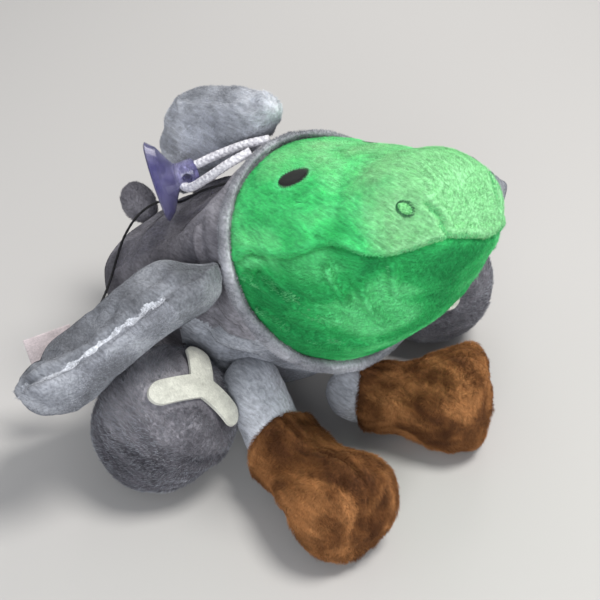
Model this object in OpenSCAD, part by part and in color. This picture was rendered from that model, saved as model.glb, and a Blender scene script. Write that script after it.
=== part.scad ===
// Plush toy: an aeroplane-bodied soft toy with a long-snouted reptile head, sitting nose-up.
// Frame: +Z up, the head points along -Y, the toy's left is +X, and it rests on Z = 0.

/* [Body] */
// Upward pitch of the body and the wings in degrees
body_pitch = 34; // [28:1:38]
// Half-width of the body at its fattest
body_half_w = 61; // [52:1:64]
// Height of the hood opening's centre above the surface
hood_z = 92; // [86:1:100]
// Distance of the hood opening's centre in front of the engine line
hood_forward = 7; // [0:1:14]
// Thickness of the plush fabric with its pile
fabric = 2.5; // [1.5:0.5:3.5]
// Gap between the fabric and the filling
filling_gap = 0.4; // [0.3:0.1:1]

/* [Head] */
// Radius of the hood opening and of the head in it
head_r = 49; // [44:1:51]
// Length of the head in front of the hood opening
head_l = 104; // [90:1:120]
// Upward pitch of the head in degrees
head_pitch = 36; // [30:1:40]
// Thickness of the rolled hem of the hood
hem_t = 5.5; // [4:0.5:7]

/* [Wings] */
// Length of a wing from its hinge line to the tip
wing_l = 63; // [58:1:68]
// Chord of a wing
wing_chord = 62; // [50:1:64]
// Thickness of a wing
wing_t = 27; // [22:1:28]
// Droop of the right wing in degrees
wing_droop = 12; // [6:1:13]
// Backward sweep of the right wing in degrees
wing_sweep = 22; // [16:1:24]

/* [Engines] */
// Radius of an engine
engine_r = 28; // [24:0.5:29]
// Distance of an engine from the middle of the toy
engine_x = 86; // [85:1:94]
// Upward pitch of an engine in degrees
engine_pitch = 52; // [45:1:60]
// Length of a propeller blade
blade_l = 23; // [18:1:27]
// Width of a propeller blade
blade_w = 11; // [8:1:12]
// Thickness of the propeller felt
felt_t = 1.4; // [1:0.1:2]

/* [Legs] */
// Radius of a leg
leg_r = 12; // [10:1:13]
// Radius of a boot at its top
boot_r = 16; // [15:1:18]
// Radius of a boot's foot
foot_r = 23; // [19:1:24]

/* [Tail] */
// Thickness of the big fin
fin_t = 26; // [18:1:28]
// Radius of a tailplane's tip
tailplane_r = 8.5; // [6:0.5:10]

/* [Hanging loop] */
// Diameter of the suction cup
cup_d = 38; // [36:1:42]
// Diameter of the braided cord
cord_d = 4; // [3:0.5:4]
// Diameter of the label's string
string_d = 1.2; // [0.8:0.1:1.6]

/* [Hidden] */

grey = [0.50, 0.50, 0.53];
grey_light = [0.62, 0.63, 0.66];
green = [0.25, 0.75, 0.42];
green_light = [0.55, 0.85, 0.55];
brown = [0.40, 0.24, 0.11];
cream = [0.80, 0.79, 0.74];
filling_white = [0.93, 0.93, 0.90];
black = [0.04, 0.04, 0.05];
violet = [0.45, 0.42, 0.75, 0.6];
cord_white = [0.88, 0.88, 0.90];

// Points round a soft ring, and the finest circle of a hull's child
sides = 24;
soft_fn = 24;
// Moves the toy so that the origin is under the middle of its box
shift_y = -16;

module placed() {
    translate([0, shift_y, 0]) children();
}

// ---- Lofts ----

// Eased value between neighbours p1 and p2, by Catmull-Rom
function ease(p0, p1, p2, p3, t) =
    0.5 * (2 * p1 + (p2 - p0) * t + (2 * p0 - 5 * p1 + 4 * p2 - p3) * t * t
        + (3 * p1 - p0 - 3 * p2 + p3) * t * t * t);

// A list of stations with `steps` stations eased in between each pair
function fine(stations, steps) =
    let (last = len(stations) - 1)
    [for (i = [0 : last - 1], j = [0 : steps - 1])
        ease(stations[max(i - 1, 0)], stations[i], stations[i + 1], stations[min(i + 2, last)], j / steps),
     stations[last]];

// A power that keeps its sign: 1 gives a round ring, and less gives a boxy one
function signed_pow(v, power) = sign(v) * pow(abs(v), power);

// One closed ring: centre c, half-axes along the unit vectors e and f, with a height and a depth along f
function ring(c, e, f, half, height, depth) =
    [for (k = [0 : sides - 1])
        let (angle = 360 * k / sides, v = sin(angle))
        c + e * half * cos(angle) + f * v * (v > 0 ? height : depth)];

// A solid through closed rings with the same number of points. A `thin` ring is an outer arc and then the
// inner arc back, and its ends are closed by four-sided faces between the two arcs
module skin(rings, thin = false) {
    n = len(rings[0]);
    m = len(rings);
    faces = [
        for (i = [0 : m - 2], j = [0 : n - 1])
            let (k = (j + 1) % n)
            each [[i * n + j, (i + 1) * n + k, i * n + k], [i * n + j, (i + 1) * n + j, (i + 1) * n + k]]
    ];
    end = thin
        ? [for (j = [0 : n / 2 - 2]) each [[j, j + 1, n - 1 - j], [j + 1, n - 2 - j, n - 1 - j]]]
        : [[for (j = [0 : n - 1]) j]];
    first = end;
    last = [for (f = end) [for (i = [len(f) - 1 : -1 : 0]) (m - 1) * n + f[i]]];
    polyhedron([for (r = rings) each r], concat(faces, first, last), convexity = 8);
}

// A sack of fabric through closed outer and inner rings, open at the first ring
module sack(outer, inner) {
    skin(concat([for (i = [len(outer) - 1 : -1 : 0]) outer[i]], inner));
}

// Rings from number `first` on, less the last `fewer`
function part_of(rings, first, fewer) = [for (i = [first : len(rings) - 1 - fewer]) rings[i]];

// ---- Body ----

hood_at = [0, -hood_forward, hood_z];
hood_gap = 0.9;
hood_r = head_r + fabric + hood_gap;

// Station: [y, z, tilt of the ring, half-width, height above the middle, depth below it]
body_stations = [
    [-hood_forward, hood_z, head_pitch, hood_r, hood_r, hood_r],
    [9, 81, 32, 0.92 * body_half_w, 50, 54],
    [29, 69, 27, 0.97 * body_half_w, 47, 57],
    [50, 60, 20, body_half_w, 43, 58],
    [70, 54, 10, body_half_w, 39, 54],
    [90, 49, 0, 0.93 * body_half_w, 33, 49],
    [106, 45, -6, 0.76 * body_half_w, 26, 42],
    [118, 42, -12, 0.45 * body_half_w, 16, 26],
    [123, 41, -16, 4, 3, 4]
];

// Rings of the body, drawn in by `inset` and kept above the height `floor_z`
function body_rings(inset, floor_z) =
    [for (s = fine(body_stations, 2))
        let (up = [0, sin(s[2]), cos(s[2])],
            size = [for (k = [3 : 5]) max(s[k] - inset, 1)])
        [for (p = ring([0, s[0], s[1]], [1, 0, 0], up, size[0], size[1], size[2])) [p.x, p.y, max(p.z, floor_z)]]];

module body_cover() {
    color(grey) placed() sack(body_rings(0, 0), part_of(body_rings(fabric, fabric), 0, 1));
}

module body_filling() {
    inset = fabric + filling_gap;
    color(filling_white) placed() skin(part_of(body_rings(inset, inset), 2, 1));
}

module hood_hem() {
    color(grey_light) placed()
        translate(hood_at) rotate([90 - head_pitch, 0, 0])
            rotate_extrude($fn = 48) translate([hood_r, hem_t / 2]) circle(d = hem_t, $fn = 24);
}

// ---- Head ----

// Station: [distance in front of the hood opening, half-width, height above the middle, depth below it]
head_stations = [
    [-14, head_r - 4, head_r - 4, head_r - 4],
    [0, head_r, head_r, head_r],
    [0.18 * head_l, 0.98 * head_r, 0.91 * head_r, 0.97 * head_r],
    [0.37 * head_l, 0.92 * head_r, 0.76 * head_r, 0.88 * head_r],
    [0.56 * head_l, 0.82 * head_r, 0.63 * head_r, 0.77 * head_r],
    [0.72 * head_l, 0.69 * head_r, 0.52 * head_r, 0.63 * head_r],
    [0.86 * head_l, 0.54 * head_r, 0.40 * head_r, 0.46 * head_r],
    [0.95 * head_l, 0.34 * head_r, 0.25 * head_r, 0.28 * head_r],
    [head_l, 4, 3, 3]
];
// The mouth seam rises and falls: [share of the head's length, angle above the middle of each side]
mouth_seam = [[0, 13], [0.3, 9], [0.6, 6], [0.75, -12], [0.95, -24]];
panel_steps = 15;

function mouth_angle(s) = lookup(s[0] / head_l, mouth_seam);

module on_head() {
    translate(hood_at) rotate([-head_pitch, 0, 0]) children();
}

// Arc of a head ring between two angles, drawn in by `inset`
function head_arc(s, from, to, inset) =
    [for (k = [0 : panel_steps])
        let (angle = from + (to - from) * k / panel_steps, v = sin(angle), rise = v > 0 ? s[2] : s[3])
        [max(s[1] - inset, 0.5) * cos(angle), -s[0], v * max(rise - inset, 0.5)]];

// Panel of the head's cover on the side of the mouth seam that holds the angle `middle`
module head_panel(middle) {
    on_head() skin([for (s = fine(head_stations, 2))
        let (half = 90 - mouth_angle(s) * sin(middle), from = middle - half, to = middle + half)
        concat(head_arc(s, from, to, 0), head_arc(s, to, from, fabric))], thin = true);
}

module head_upper() {
    color(green_light) placed() head_panel(90);
}

module head_lower() {
    color(green) placed() head_panel(270);
}

module head_filling() {
    inset = fabric + filling_gap;
    rings = [for (s = fine(head_stations, 2))
        ring([0, -s[0], 0], [1, 0, 0], [0, 0, 1], max(s[1] - inset, 0.5), max(s[2] - inset, 0.5), max(s[3] - inset, 0.5))];
    color(filling_white) placed() on_head() skin(part_of(rings, 1, 1));
}

// An embroidered oval sunk into the head's right side: `along` in front of the hood, `angle` up from its side
oval_t = 2.4;
oval_sink = 1.6;
module oval(along, angle, length, height, swing) {
    across = lookup(along, [for (s = head_stations) [s[0], s[1]]]);
    above = lookup(along, [for (s = head_stations) [s[0], s[2]]]);
    lean = atan2(sin(angle) / above, cos(angle) / across);
    on_head() translate([-across * cos(angle), -along, above * sin(angle)])
        rotate([0, lean - 90, 0]) rotate([taper, 0, 0]) rotate([0, 0, swing]) translate([0, 0, -oval_sink])
            linear_extrude(oval_t) scale([height / length, 1]) circle(d = length, $fn = 32);
}
taper = 20;
eye_length = 14;
eye_height = 11;
nostril_length = 7.5;
nostril_height = 5.5;

module eye() {
    oval(0.29 * head_l, 60, eye_length, eye_height, 45);
}

module nostril() {
    oval(0.86 * head_l, 27, nostril_length, nostril_height, -45);
}

module eye_right() {
    color(black) placed() eye();
}

module eye_left() {
    color(black) placed() mirror([1, 0, 0]) eye();
}

module nostril_right() {
    color(green) placed() nostril();
}

module nostril_left() {
    color(green) placed() mirror([1, 0, 0]) nostril();
}

// ---- Wings ----

// A wing's root end is round about its hinge line, so it clears the body as it flaps
wing_root = [81.5, 15, 83];
// The left wing lies a little lower and further back than the right one
wing_left_root = [85, 16, 83];
wing_left_droop = wing_droop + 7;
wing_left_sweep = wing_sweep + 13;
// Station: [distance out from the hinge line, share of the half-chord, share of the half-thickness]
wing_stations = [
    [-13.5, 0.84, 0.30],
    [-10, 0.90, 0.70],
    [-4, 0.97, 0.95],
    [8, 1, 1],
    [30, 1, 1],
    [0.70 * wing_l, 0.97, 0.94],
    [0.86 * wing_l, 0.84, 0.76],
    [0.96 * wing_l, 0.55, 0.46],
    [wing_l, 0.12, 0.10]
];

function wing_rings(inset) =
    [for (s = fine(wing_stations, 2))
        let (half = max(s[1] * wing_chord / 2 - inset, 1.5), thick = max(s[2] * wing_t / 2 - inset, 1))
        ring([s[0], 0, 0], [0, -1, 0], [0, 0, 1], half, thick, thick)];

// A left wing's place; children have their span along +X and their chord along Y
module on_wing(root, droop, sweep) {
    translate(root) rotate([-body_pitch, 0, 0]) rotate([0, droop, sweep]) children();
}

module wing_cover() {
    sack(wing_rings(0), part_of(wing_rings(fabric), 0, 1));
}

module wing_filling() {
    skin(part_of(wing_rings(fabric + filling_gap), 2, 1));
}

module wing_right() {
    color(grey_light) placed() mirror([1, 0, 0]) on_wing(wing_root, wing_droop, wing_sweep) wing_cover();
}

module wing_left() {
    color(grey_light) placed() on_wing(wing_left_root, wing_left_droop, wing_left_sweep) wing_cover();
}

module wing_filling_right() {
    color(filling_white) placed() mirror([1, 0, 0]) on_wing(wing_root, wing_droop, wing_sweep) wing_filling();
}

module wing_filling_left() {
    color(filling_white) placed() on_wing(wing_left_root, wing_left_droop, wing_left_sweep) wing_filling();
}

// ---- Engines ----

// Length of the straight barrel between an engine's two domes, its toe-in and the flat it rests on
engine_l = 10;
engine_toe_in = 25;
engine_flat = 1;
engine_at = [engine_x, 8, engine_r - engine_flat];
below_floor = [600, 600, 100];

// Half outline of a domed engine, with its axis on Y
module engine_outline(r) {
    intersection() {
        union() {
            circle(r, $fn = 64);
            translate([0, engine_l]) circle(r, $fn = 64);
            translate([-r, 0]) square([2 * r, engine_l]);
        }
        translate([0, -2 * r]) square([2 * r, 4 * r + engine_l]);
    }
}

module on_engine() {
    translate(engine_at) rotate([0, 0, -engine_toe_in]) rotate([90 - engine_pitch, 0, 0]) children();
}

module engine_cover() {
    difference() {
        on_engine() rotate_extrude($fn = 64) difference() {
            engine_outline(engine_r);
            engine_outline(engine_r - fabric);
        }
        translate([0, 0, -below_floor.z / 2]) cube(below_floor, center = true);
    }
}

module engine_filling() {
    on_engine() rotate_extrude($fn = 64) engine_outline(engine_r - fabric - filling_gap);
}

module engine_right() {
    color(grey) placed() mirror([1, 0, 0]) engine_cover();
}

module engine_left() {
    color(grey) placed() engine_cover();
}

module engine_filling_right() {
    color(filling_white) placed() mirror([1, 0, 0]) engine_filling();
}

module engine_filling_left() {
    color(filling_white) placed() engine_filling();
}

// Three hand-cut felt blades, sewn at the middle of the engine's front dome and bowed over it
felt_gap = 0.3;
felt_bow = 40;
blade_angles = [36, 147, 258];
module propeller() {
    on_engine() translate([0, 0, engine_l + engine_r + felt_gap - felt_bow]) intersection() {
        difference() {
            sphere(felt_bow + felt_t, $fn = 96);
            sphere(felt_bow, $fn = 96);
        }
        linear_extrude(2 * felt_bow) for (angle = blade_angles) rotate(angle) {
            translate([0, -blade_w / 2]) square([blade_l - blade_w / 2, blade_w]);
            translate([blade_l - blade_w / 2, 0]) circle(d = blade_w, $fn = 32);
        }
    }
}

module propeller_right() {
    color(cream) placed() mirror([1, 0, 0]) propeller();
}

module propeller_left() {
    color(cream) placed() propeller();
}

// ---- Legs and boots ----

// Each leg: [hip, ankle, foot], all on the leg's middle line
leg_path_right = [[-46, -21, 38], [-50, -34, 24], [-52, -75, foot_r - 1]];
leg_path_left = [[-1, -23, 21], [6, -29, 19], [31, -57, foot_r - 1]];
boot_floor = 0;

// Half-space in front of a boot's top, which faces its leg
module beyond_top(path) {
    axis = path[2] - path[1];
    turn = atan2(axis.y, axis.x);
    dip = atan2(axis.z, norm([axis.x, axis.y]));
    translate(path[1]) rotate([0, -dip, turn]) translate([0, -200, -200]) cube(400);
}

module leg(path) {
    difference() {
        hull() {
            translate(path[0]) sphere(leg_r, $fn = soft_fn);
            translate(path[1]) sphere(leg_r, $fn = soft_fn);
        }
        beyond_top(path);
    }
}

module boot_shape(path, inset) {
    intersection() {
        hull() {
            translate(path[1]) sphere(boot_r - inset, $fn = soft_fn);
            translate(0.35 * path[1] + 0.65 * path[2]) sphere((boot_r + foot_r) / 2 - inset, $fn = soft_fn);
            translate(path[2]) sphere(foot_r - inset, $fn = soft_fn);
        }
        beyond_top(path);
        translate([-300, -300, boot_floor + inset]) cube(600);
    }
}

module boot(path) {
    difference() {
        boot_shape(path, 0);
        boot_shape([path[0], path[1] + 2 * fabric * unit(path[2] - path[1]), path[2]], fabric);
    }
}

function unit(v) = v / norm(v);

module boot_filling(path) {
    top = path[1] + 2.3 * fabric * unit(path[2] - path[1]);
    boot_shape([path[0], top, path[2]], fabric + filling_gap);
}

module leg_right() {
    color(grey_light) placed() leg(leg_path_right);
}

module leg_left() {
    color(grey_light) placed() leg(leg_path_left);
}

module boot_right() {
    color(brown) placed() boot(leg_path_right);
}

module boot_left() {
    color(brown) placed() boot(leg_path_left);
}

module boot_filling_right() {
    color(filling_white) placed() boot_filling(leg_path_right);
}

module boot_filling_left() {
    color(filling_white) placed() boot_filling(leg_path_left);
}

// ---- Tail ----

// Station: [lean to the left, y, z, fall of the ring to the rear, half-length, share of the half-thickness]
fin_stations = [
    [0, 73, 97, 38, 38, 0.34],
    [0, 74, 101, 36, 44, 0.72],
    [-1, 73, 110, 32, 48, 1],
    [-2, 71, 122, 27, 48, 1],
    [-3, 69, 133, 22, 43, 0.86],
    [-4, 68, 141, 19, 34, 0.56],
    [-4, 67, 145, 17, 22, 0.20]
];
// The fin is boxy at its rear and round at its front
fin_box = 0.72;

function fin_ring(s, inset) =
    let (thick = max(s[5] * fin_t / 2 - inset, 1), back = [0, cos(s[3]), -sin(s[3])])
    [for (k = [0 : sides - 1])
        let (angle = 360 * k / sides, power = cos(angle) > 0 ? fin_box : 1)
        [s[0], s[1], s[2]] + back * (s[4] - inset) * signed_pow(cos(angle), power)
            + [1, 0, 0] * thick * signed_pow(sin(angle), power)];

function fin_rings(inset) = [for (s = fine(fin_stations, 2)) fin_ring(s, inset)];

module fin() {
    color(grey) placed() sack(fin_rings(0), part_of(fin_rings(fabric), 0, 2));
}

module fin_filling() {
    color(filling_white) placed() skin(part_of(fin_rings(fabric + filling_gap), 2, 3));
}

// Small soft tail lobes behind the big fin
tailplane_root = [19, 115.5, 65.5];
tailplane_tip = [21, 122, 74];

module tailplane() {
    hull() {
        translate(tailplane_root) sphere(0.75 * tailplane_r, $fn = soft_fn);
        translate(tailplane_tip) sphere(tailplane_r, $fn = soft_fn);
    }
}

module tailplane_right() {
    color(grey_light) placed() mirror([1, 0, 0]) tailplane();
}

module tailplane_left() {
    color(grey_light) placed() tailplane();
}

// ---- Hanging loop, cup, string and label ----

// The cup's rim middle and the way its neck points
cup_at = [-43, 63, 112];
cup_turn = -29;
cup_dip = 76;
// Outline of the cup's wall and neck: radius and height above the rim
cup_outline = [
    [0, 6], [8, 5], [15, 2.6], [cup_d / 2 - 1, 0], [cup_d / 2, 0.8],
    [15.5, 4.6], [9, 8], [6, 10], [5.5, 12], [6, 18], [4, 20], [0, 20]
];
cup_hole_z = 14.5;
cup_hole_d = 4.8;

module suction_cup() {
    color(violet) placed() translate(cup_at) rotate([0, 0, cup_turn]) rotate([0, cup_dip, 0]) difference() {
        rotate_extrude($fn = 64) polygon(cup_outline);
        translate([0, 0, cup_hole_z]) rotate([90, 0, 0]) cylinder(d = cup_hole_d, h = 20, center = true, $fn = 32);
    }
}

// The braided cord's route, from the hood's top seam round the cup's neck and back
loop_route = [
    [-6, 26, 136], [-13, 35, 132], [-21, 46, 125], [-27, 54, 119], [-31, 60, 115],
    [-34, 57, 112], [-34, 49, 112], [-31, 39, 120], [-25, 30, 129], [-17, 25, 134]
];

// The label string's route, from its sewn end over the body and behind the right wing
string_route = [
    [-29, 25, 123], [-31, 43, 112], [-33, 59, 100], [-33, 79, 91], [-39, 88, 82], [-47, 89, 73],
    [-55, 85, 65], [-63, 79, 59], [-73, 72, 54], [-84, 66, 49], [-91, 63, 47], [-96, 61, 46]
];

// Tube of `n` sides and diameter d swept along a list of points
module tube(route, d, n) {
    last = len(route) - 1;
    skin([for (i = [0 : last])
        let (ahead = unit(route[min(i + 1, last)] - route[max(i - 1, 0)]),
            side = unit(cross(ahead, [0.3, 0.2, 1])), top = cross(side, ahead))
        [for (k = [0 : n - 1]) route[i] + d / 2 * (side * cos(360 * k / n) + top * sin(360 * k / n))]]);
}

module hanging_loop() {
    color(cord_white) placed() tube(fine(loop_route, 2), cord_d, 8);
}

module label_string() {
    color(black) placed() tube(fine(string_route, 4), string_d, 8);
}

// Blank fabric label that leans on the rear of the right wing
label_size = [22, 26, 0.8];
label_at = [-107, 58.5, 46];

module label() {
    color(cord_white) placed() translate(label_at) rotate([78, 0, -18]) rotate([0, 0, 8]) cube(label_size, center = true);
}

body_cover();
body_filling();
hood_hem();
head_upper();
head_lower();
head_filling();
eye_right();
eye_left();
nostril_right();
nostril_left();
wing_right();
wing_left();
wing_filling_right();
wing_filling_left();
engine_right();
engine_left();
engine_filling_right();
engine_filling_left();
propeller_right();
propeller_left();
leg_right();
leg_left();
boot_right();
boot_left();
boot_filling_right();
boot_filling_left();
fin();
fin_filling();
tailplane_right();
tailplane_left();
suction_cup();
hanging_loop();
label_string();
label();
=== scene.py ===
"""Plush toy with a reptile's head and an aeroplane's body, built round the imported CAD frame.

Lengths are in millimetres until a mesh is made. The toy frame is the CAD frame before it is set back by
PLACE: +X is the toy's left, -Y its front and +Z up.
"""
import math

import bmesh
import bpy
import numpy as np
from mathutils import Matrix, Vector, noise
from mathutils.bvhtree import BVHTree


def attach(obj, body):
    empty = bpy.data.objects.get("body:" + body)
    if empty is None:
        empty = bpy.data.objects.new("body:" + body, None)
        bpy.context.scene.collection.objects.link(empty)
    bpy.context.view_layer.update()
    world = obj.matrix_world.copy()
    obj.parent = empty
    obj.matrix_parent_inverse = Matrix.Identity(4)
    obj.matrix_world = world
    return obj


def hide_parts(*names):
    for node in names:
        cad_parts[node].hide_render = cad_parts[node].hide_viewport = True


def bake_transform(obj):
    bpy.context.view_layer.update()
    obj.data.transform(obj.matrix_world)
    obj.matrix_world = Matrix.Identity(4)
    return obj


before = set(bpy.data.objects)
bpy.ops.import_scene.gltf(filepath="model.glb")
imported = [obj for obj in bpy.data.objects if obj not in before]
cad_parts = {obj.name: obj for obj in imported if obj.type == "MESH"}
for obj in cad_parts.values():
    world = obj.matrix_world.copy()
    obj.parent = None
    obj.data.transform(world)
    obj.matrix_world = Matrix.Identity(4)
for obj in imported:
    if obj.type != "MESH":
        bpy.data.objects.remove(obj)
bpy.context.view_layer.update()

MM = 0.001
PLACE = np.array([0.0, -16.0, 0.0])
UP = np.array([0.0, 0.0, 1.0])
FLOOR_GAP = 0.5
scene = bpy.context.scene


def row(points):
    """Toy-frame millimetres to row-frame metres."""
    return (np.asarray(points, float) + PLACE) * MM


# ---- Camera ----

CAMERA_AT = (-285.4, -328.4, 360.0)
CAMERA_TURN = (90 - 34.5, 0, -40)
CAMERA_LENS = 67.8

camera = bpy.data.objects.new("camera", bpy.data.cameras.new("camera"))
camera.data.lens = CAMERA_LENS
camera.data.sensor_width = 36
camera.location = row(CAMERA_AT)
camera.rotation_euler = [math.radians(a) for a in CAMERA_TURN]
scene.collection.objects.link(camera)
scene.camera = camera


# ---- Curves and lofts ----

def eased(values, t):
    """Catmull-Rom value of a list of stations at the place t, counted in stations."""
    values = np.asarray(values, float)
    last = len(values) - 1
    i = int(min(math.floor(t), last - 1))
    u = t - i
    p0, p1, p2, p3 = values[max(i - 1, 0)], values[i], values[i + 1], values[min(i + 2, last)]
    bend = 2 * p0 - 5 * p1 + 4 * p2 - p3
    twist = 3 * p1 - p0 - 3 * p2 + p3
    return 0.5 * (2 * p1 + (p2 - p0) * u + bend * u * u + twist * u ** 3)


def fine(values, steps):
    """The stations with steps - 1 more eased in between each pair."""
    last = len(values) - 1
    return np.array([eased(values, i / steps) for i in range(last * steps + 1)])


def ring(centre, e, f, half, height, depth, sides=64):
    """Closed ring round a centre: half to both sides along e, height along f and depth against it."""
    a = np.linspace(0, 2 * math.pi, sides, endpoint=False)
    v = np.sin(a)
    v = np.where(v > 0, v * height, v * depth)
    return np.asarray(centre) + np.outer(np.cos(a) * half, e) + np.outer(v, f)


def turned(axis, degrees):
    """3 by 3 turn about a named axis."""
    return np.array(Matrix.Rotation(math.radians(degrees), 3, axis))


def mesh_object(name, points, faces):
    mesh = bpy.data.meshes.new(name)
    mesh.from_pydata([tuple(p) for p in row(points)], [], faces)
    mesh.update()
    mesh.shade_smooth()
    obj = bpy.data.objects.new(name, mesh)
    scene.collection.objects.link(obj)
    return obj


def loft_faces(rings, sides):
    faces = []
    for i in range(rings - 1):
        for j in range(sides):
            k = (j + 1) % sides
            faces.append((i * sides + j, i * sides + k, (i + 1) * sides + k, (i + 1) * sides + j))
    first, last = rings * sides, rings * sides + 1
    for j in range(sides):
        k = (j + 1) % sides
        faces.append((first, k, j))
        faces.append((last, (rings - 1) * sides + j, (rings - 1) * sides + k))
    return faces


def loft(name, rings):
    """Closed solid through rings, with a point in the middle of each end."""
    rings = np.asarray(rings)
    n, sides = rings.shape[:2]
    ends = np.array([rings[0].mean(0), rings[-1].mean(0)])
    return mesh_object(name, np.vstack([rings.reshape(-1, 3), ends]), loft_faces(n, sides))


def tube(name, route, radius, sides=12):
    """Round tube along points, closed at its ends."""
    route = np.asarray(route, float)
    ahead = np.gradient(route, axis=0)
    ahead /= np.linalg.norm(ahead, axis=1)[:, None]
    side = np.cross(ahead, [0.3, 0.2, 1.0])
    side /= np.linalg.norm(side, axis=1)[:, None]
    top = np.cross(side, ahead)
    radii = np.broadcast_to(radius, len(route))
    return loft(name, [ring(p, s, t, r, r, r, sides) for p, s, t, r in zip(route, side, top, radii)])


def above_floor(points):
    """The points with none lower than the floor's clearance."""
    points[:, 2] = np.maximum(points[:, 2], FLOOR_GAP)
    return points


# ---- Reading and moving a mesh's points ----

def points_of(mesh):
    """The mesh's points in toy-frame millimetres."""
    co = np.empty(len(mesh.vertices) * 3)
    mesh.vertices.foreach_get("co", co)
    return co.reshape(-1, 3) / MM - PLACE


def normals_of(mesh):
    n = np.empty(len(mesh.vertices) * 3)
    mesh.vertices.foreach_get("normal", n)
    return n.reshape(-1, 3)


def set_points(mesh, points):
    mesh.vertices.foreach_set("co", row(points).ravel())
    mesh.update()


def refined(obj, levels):
    """Applies a subdivision surface."""
    subdivision = obj.modifiers.new("fine", "SUBSURF")
    subdivision.levels = levels
    subdivision.render_levels = levels
    apply_modifiers(obj)


def apply_modifiers(obj):
    graph = bpy.context.evaluated_depsgraph_get()
    made = bpy.data.meshes.new_from_object(obj.evaluated_get(graph))
    obj.modifiers.clear()
    obj.data = made
    made.shade_smooth()


def push(obj, field):
    """Moves each point along its normal by field(points), in millimetres."""
    mesh = obj.data
    p = points_of(mesh)
    set_points(mesh, p + normals_of(mesh) * field(p)[:, None])


def distance(points, route):
    """Distance of each point to a line through the route's points."""
    route = np.asarray(route, float)
    best = np.full(len(points), 1e9)
    for a, b in zip(route[:-1], route[1:]):
        ab = b - a
        t = np.clip((points - a) @ ab / (ab @ ab), 0, 1)
        best = np.minimum(best, np.linalg.norm(points - a - t[:, None] * ab, axis=1))
    return best


def bell(d, width):
    return np.exp(-((d / width) ** 2))


def ripple(points, size, seed, stretch=(1, 1, 1)):
    """Smooth noise from about -1 to 1 with features of that size, longer along a stretched axis."""
    q = points / (size * np.asarray(stretch, float)) + seed * 17.3
    return np.array([noise.noise(Vector(v)) for v in q]) * 1.6


def seam(points, route, width=1.3, depth=1.4, roll=0.5):
    """A sewn seam: a narrow groove with a soft roll on both sides."""
    d = distance(points, route)
    return roll * bell(d - 2.2 * width, 1.4 * width) - depth * bell(d, width)


def fold(points, route, width, height):
    """A soft fold that stands up, with a shallow trough beside it."""
    d = distance(points, route)
    return height * bell(d, width) - 0.45 * height * bell(d - 2.1 * width, width)


def mirrored(route):
    return [(-x, y, z) for x, y, z in route]


def surface_of(obj):
    """Search tree of an object's faces, in the toy frame."""
    corners = [tuple(v) for v in points_of(obj.data)]
    return BVHTree.FromPolygons(corners, [tuple(f.vertices) for f in obj.data.polygons])


def laid_on(surface, route, steps=4):
    """The smooth line through a route, with each point moved to the nearest place on a surface."""
    return np.array([surface.find_nearest(Vector(q))[0] for q in fine(route, steps)])


def nearest_line(points, lines):
    """Distance of each point to the nearest of several lines."""
    return np.min([distance(points, line) for line in lines], axis=0)


def stuffed(obj, held, pressure=3.0, growth=0.04, cap=2.5, frames=16):
    """Swells a cover with a cloth simulation. Its seams are held, and the slack between them wrinkles."""
    mesh = obj.data
    before = points_of(mesh)
    group = obj.vertex_groups.new(name="seams")
    group.add([int(i) for i in np.where(held(before))[0]], 1.0, "REPLACE")
    cloth = obj.modifiers.new("cloth", "CLOTH")
    settings = cloth.settings
    settings.quality = 6
    settings.mass = 0.3
    settings.tension_stiffness = 18
    settings.compression_stiffness = 18
    settings.shear_stiffness = 8
    settings.bending_stiffness = 0.4
    settings.shrink_min = -growth
    settings.use_pressure = True
    settings.uniform_pressure_force = pressure
    settings.effector_weights.gravity = 0
    settings.vertex_group_mass = "seams"
    cloth.point_cache.frame_end = frames
    for f in range(1, frames + 1):
        scene.frame_set(f)
    graph = bpy.context.evaluated_depsgraph_get()
    swollen = points_of(obj.evaluated_get(graph).to_mesh())
    obj.modifiers.clear()
    obj.vertex_groups.clear()
    scene.frame_set(1)
    moved = swollen - before
    length = np.linalg.norm(moved, axis=1)[:, None]
    moved *= np.minimum(1, cap / np.maximum(length, 1e-6))
    after = before + moved
    after[:, 2] = np.maximum(after[:, 2], np.minimum(before[:, 2], 0.4))
    set_points(mesh, after)


# ---- Materials ----

def srgb(*levels):
    """Linear colour of 8-bit sRGB levels."""
    return tuple(((c / 255 + 0.055) / 1.055) ** 2.4 if c > 10 else c / 255 / 12.92 for c in levels) + (1.0,)


def material(name):
    made = bpy.data.materials.new(name)
    made.use_nodes = True
    return made, made.node_tree.nodes, made.node_tree.links, made.node_tree.nodes["Principled BSDF"]


def placed_noise(nodes, links, scale, detail=3.0, stretch=(1, 1, 1), turn=(0, 0, 0), distortion=0.0):
    """Noise in the row frame, in cells per metre, longer along a stretched axis."""
    coordinates = nodes.new("ShaderNodeTexCoord")
    mapping = nodes.new("ShaderNodeMapping")
    mapping.inputs["Rotation"].default_value = [math.radians(a) for a in turn]
    mapping.inputs["Scale"].default_value = [1 / s for s in stretch]
    texture = nodes.new("ShaderNodeTexNoise")
    texture.inputs["Scale"].default_value = scale
    texture.inputs["Detail"].default_value = detail
    texture.inputs["Distortion"].default_value = distortion
    links.new(coordinates.outputs["Object"], mapping.inputs["Vector"])
    links.new(mapping.outputs["Vector"], texture.inputs["Vector"])
    return texture.outputs[0]


def ramp(nodes, links, value, stops):
    made = nodes.new("ShaderNodeValToRGB")
    elements = made.color_ramp.elements
    while len(elements) < len(stops):
        elements.new(0.5)
    for element, (place, colour) in zip(elements, stops):
        element.position = place
        element.color = colour
    links.new(value, made.inputs["Fac"])
    return made.outputs["Color"]


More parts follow.
